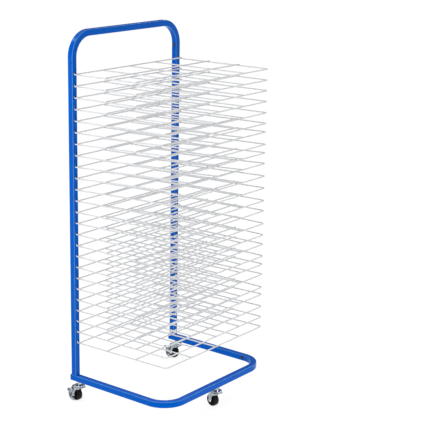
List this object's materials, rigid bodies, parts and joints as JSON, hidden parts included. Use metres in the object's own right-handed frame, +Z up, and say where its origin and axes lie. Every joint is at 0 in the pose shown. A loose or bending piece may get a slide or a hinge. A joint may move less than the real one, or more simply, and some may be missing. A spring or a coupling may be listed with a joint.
{
  "type": "art drying rack",
  "caption": "Knock-down art drying rack: square-tube frame with a push handle, hook-in wire shelves and swivel casters, the rear ones with brakes.",
  "frame": {"origin": "middle of the covered floor area, on the floor", "axes": "+Z up; +Y from the free ends of the shelves back to the posts; +X to the right when looking along +Y"},
  "size_m": [0.4762, 0.4011, 1.063],
  "materials": {
    "frame_paint": "gloss blue powder coat",
    "shelf_wire": "satin white powder coat on welded wire",
    "plated_steel": "bright zinc plate",
    "bare_steel": "plain steel, hidden inside the tubes",
    "black_steel": "black oxide",
    "black_plastic": "moulded, matte",
    "wheel_plastic": "moulded, satin"
  },
  "bodies": {
    "frame": {"top_handle": "frame_paint", "post_left_lower": "frame_paint", "post_left_middle": "frame_paint", "post_left_upper": "frame_paint", "post_right_lower": "frame_paint", "post_right_middle": "frame_paint", "post_right_upper": "frame_paint", "base_arm_left": "frame_paint", "base_arm_right": "frame_paint", "base_front": "frame_paint", "post_spigots": "bare_steel", "handle_spigots": "bare_steel", "base_spigots": "bare_steel", "frame_screws": "black_steel", "arm_end_caps": "black_plastic", "caster_inserts": "plated_steel", "caster_balls": "plated_steel", "caster_left_stem": "plated_steel", "caster_right_stem": "plated_steel", "caster_front_stem": "plated_steel"},
    "shelf_01": {"shelf_01": "shelf_wire"},
    "shelf_02": {"shelf_02": "shelf_wire"},
    "shelf_03": {"shelf_03": "shelf_wire"},
    "shelf_04": {"shelf_04": "shelf_wire"},
    "shelf_05": {"shelf_05": "shelf_wire"},
    "shelf_06": {"shelf_06": "shelf_wire"},
    "shelf_07": {"shelf_07": "shelf_wire"},
    "shelf_08": {"shelf_08": "shelf_wire"},
    "shelf_09": {"shelf_09": "shelf_wire"},
    "shelf_10": {"shelf_10": "shelf_wire"},
    "shelf_11": {"shelf_11": "shelf_wire"},
    "shelf_12": {"shelf_12": "shelf_wire"},
    "shelf_13": {"shelf_13": "shelf_wire"},
    "shelf_14": {"shelf_14": "shelf_wire"},
    "shelf_15": {"shelf_15": "shelf_wire"},
    "shelf_16": {"shelf_16": "shelf_wire"},
    "shelf_17": {"shelf_17": "shelf_wire"},
    "shelf_18": {"shelf_18": "shelf_wire"},
    "shelf_19": {"shelf_19": "shelf_wire"},
    "shelf_20": {"shelf_20": "shelf_wire"},
    "shelf_21": {"shelf_21": "shelf_wire"},
    "shelf_22": {"shelf_22": "shelf_wire"},
    "shelf_23": {"shelf_23": "shelf_wire"},
    "shelf_24": {"shelf_24": "shelf_wire"},
    "shelf_25": {"shelf_25": "shelf_wire"},
    "caster_left_swivel": {"caster_left_fork": "plated_steel", "caster_left_axle": "plated_steel", "caster_left_brake_pins": "plated_steel"},
    "caster_left_roller": {"caster_left_wheel": "wheel_plastic"},
    "caster_left_brake_lever": {"caster_left_brake": "plated_steel"},
    "caster_right_swivel": {"caster_right_fork": "plated_steel", "caster_right_axle": "plated_steel", "caster_right_brake_pins": "plated_steel"},
    "caster_right_roller": {"caster_right_wheel": "wheel_plastic"},
    "caster_right_brake_lever": {"caster_right_brake": "plated_steel"},
    "caster_front_swivel": {"caster_front_fork": "plated_steel", "caster_front_axle": "plated_steel"},
    "caster_front_roller": {"caster_front_wheel": "wheel_plastic"}
  },
  "joints": [
    {"name": "shelf_01_lift", "type": "hinge", "parent": "frame", "child": "shelf_01", "pos_m": [0, 0.14906, 0.1779], "axis": [-1, 0, 0], "range_deg": [0, 4.6]},
    {"name": "shelf_02_lift", "type": "hinge", "parent": "frame", "child": "shelf_02", "pos_m": [0, 0.14906, 0.2099], "axis": [-1, 0, 0], "range_deg": [0, 5]},
    {"name": "shelf_03_lift", "type": "hinge", "parent": "frame", "child": "shelf_03", "pos_m": [0, 0.14906, 0.2419], "axis": [-1, 0, 0], "range_deg": [0, 5.9]},
    {"name": "shelf_04_lift", "type": "hinge", "parent": "frame", "child": "shelf_04", "pos_m": [0, 0.14906, 0.2739], "axis": [-1, 0, 0], "range_deg": [0, 3.1]},
    {"name": "shelf_05_lift", "type": "hinge", "parent": "frame", "child": "shelf_05", "pos_m": [0, 0.14906, 0.3059], "axis": [-1, 0, 0], "range_deg": [0, 6.3]},
    {"name": "shelf_06_lift", "type": "hinge", "parent": "frame", "child": "shelf_06", "pos_m": [0, 0.14906, 0.3379], "axis": [-1, 0, 0], "range_deg": [0, 4.7]},
    {"name": "shelf_07_lift", "type": "hinge", "parent": "frame", "child": "shelf_07", "pos_m": [0, 0.14906, 0.3699], "axis": [-1, 0, 0], "range_deg": [0, 3.6]},
    {"name": "shelf_08_lift", "type": "hinge", "parent": "frame", "child": "shelf_08", "pos_m": [0, 0.14906, 0.4019], "axis": [-1, 0, 0], "range_deg": [0, 5.6]},
    {"name": "shelf_09_lift", "type": "hinge", "parent": "frame", "child": "shelf_09", "pos_m": [0, 0.14906, 0.4339], "axis": [-1, 0, 0], "range_deg": [0, 4.2]},
    {"name": "shelf_10_lift", "type": "hinge", "parent": "frame", "child": "shelf_10", "pos_m": [0, 0.14906, 0.4659], "axis": [-1, 0, 0], "range_deg": [0, 5.3]},
    {"name": "shelf_11_lift", "type": "hinge", "parent": "frame", "child": "shelf_11", "pos_m": [0, 0.14906, 0.4979], "axis": [-1, 0, 0], "range_deg": [0, 6]},
    {"name": "shelf_12_lift", "type": "hinge", "parent": "frame", "child": "shelf_12", "pos_m": [0, 0.14906, 0.5299], "axis": [-1, 0, 0], "range_deg": [0, 4.6]},
    {"name": "shelf_13_lift", "type": "hinge", "parent": "frame", "child": "shelf_13", "pos_m": [0, 0.14906, 0.5619], "axis": [-1, 0, 0], "range_deg": [0, 5.8]},
    {"name": "shelf_14_lift", "type": "hinge", "parent": "frame", "child": "shelf_14", "pos_m": [0, 0.14906, 0.5939], "axis": [-1, 0, 0], "range_deg": [0, 5.5]},
    {"name": "shelf_15_lift", "type": "hinge", "parent": "frame", "child": "shelf_15", "pos_m": [0, 0.14906, 0.6259], "axis": [-1, 0, 0], "range_deg": [0, 5.8]},
    {"name": "shelf_16_lift", "type": "hinge", "parent": "frame", "child": "shelf_16", "pos_m": [0, 0.14906, 0.6579], "axis": [-1, 0, 0], "range_deg": [0, 4.7]},
    {"name": "shelf_17_lift", "type": "hinge", "parent": "frame", "child": "shelf_17", "pos_m": [0, 0.14906, 0.6899], "axis": [-1, 0, 0], "range_deg": [0, 3.6]},
    {"name": "shelf_18_lift", "type": "hinge", "parent": "frame", "child": "shelf_18", "pos_m": [0, 0.14906, 0.7219], "axis": [-1, 0, 0], "range_deg": [0, 5.7]},
    {"name": "shelf_19_lift", "type": "hinge", "parent": "frame", "child": "shelf_19", "pos_m": [0, 0.14906, 0.7539], "axis": [-1, 0, 0], "range_deg": [0, 3.6]},
    {"name": "shelf_20_lift", "type": "hinge", "parent": "frame", "child": "shelf_20", "pos_m": [0, 0.14906, 0.7859], "axis": [-1, 0, 0], "range_deg": [0, 4.6]},
    {"name": "shelf_21_lift", "type": "hinge", "parent": "frame", "child": "shelf_21", "pos_m": [0, 0.14906, 0.8179], "axis": [-1, 0, 0], "range_deg": [0, 5]},
    {"name": "shelf_22_lift", "type": "hinge", "parent": "frame", "child": "shelf_22", "pos_m": [0, 0.14906, 0.8499], "axis": [-1, 0, 0], "range_deg": [0, 4.7]},
    {"name": "shelf_23_lift", "type": "hinge", "parent": "frame", "child": "shelf_23", "pos_m": [0, 0.14906, 0.8819], "axis": [-1, 0, 0], "range_deg": [0, 4.5]},
    {"name": "shelf_24_lift", "type": "hinge", "parent": "frame", "child": "shelf_24", "pos_m": [0, 0.14906, 0.9139], "axis": [-1, 0, 0], "range_deg": [0, 4.8]},
    {"name": "shelf_25_lift", "type": "hinge", "parent": "frame", "child": "shelf_25", "pos_m": [0, 0.14906, 0.9459], "axis": [-1, 0, 0], "range_deg": [0, 60]},
    {"name": "caster_left_turn", "type": "hinge", "parent": "frame", "child": "caster_left_swivel", "pos_m": [-0.22, 0.14246, 0.048], "axis": [0, 0, 1], "continuous": true},
    {"name": "caster_left_roll", "type": "hinge", "parent": "caster_left_swivel", "child": "caster_left_roller", "pos_m": [-0.2174, 0.15724, 0.019], "axis": [0.9848, -0.1736, 0], "continuous": true},
    {"name": "caster_left_brake_press", "type": "hinge", "parent": "caster_left_swivel", "child": "caster_left_brake_lever", "pos_m": [-0.21653, 0.16216, 0.0365], "axis": [-0.9848, 0.1736, 0], "range_deg": [-6.5, 0]},
    {"name": "caster_right_turn", "type": "hinge", "parent": "frame", "child": "caster_right_swivel", "pos_m": [0.22, 0.14246, 0.048], "axis": [0, 0, 1], "continuous": true},
    {"name": "caster_right_roll", "type": "hinge", "parent": "caster_right_swivel", "child": "caster_right_roller", "pos_m": [0.2226, 0.15724, 0.019], "axis": [0.9848, -0.1736, 0], "continuous": true},
    {"name": "caster_right_brake_press", "type": "hinge", "parent": "caster_right_swivel", "child": "caster_right_brake_lever", "pos_m": [0.22347, 0.16216, 0.0365], "axis": [-0.9848, 0.1736, 0], "range_deg": [0, 6.5]},
    {"name": "caster_front_turn", "type": "hinge", "parent": "frame", "child": "caster_front_swivel", "pos_m": [0, -0.18454, 0.048], "axis": [0, 0, 1], "continuous": true},
    {"name": "caster_front_roll", "type": "hinge", "parent": "caster_front_swivel", "child": "caster_front_roller", "pos_m": [0.00261, -0.16976, 0.019], "axis": [0.9848, -0.1736, 0], "continuous": true}
  ]
}
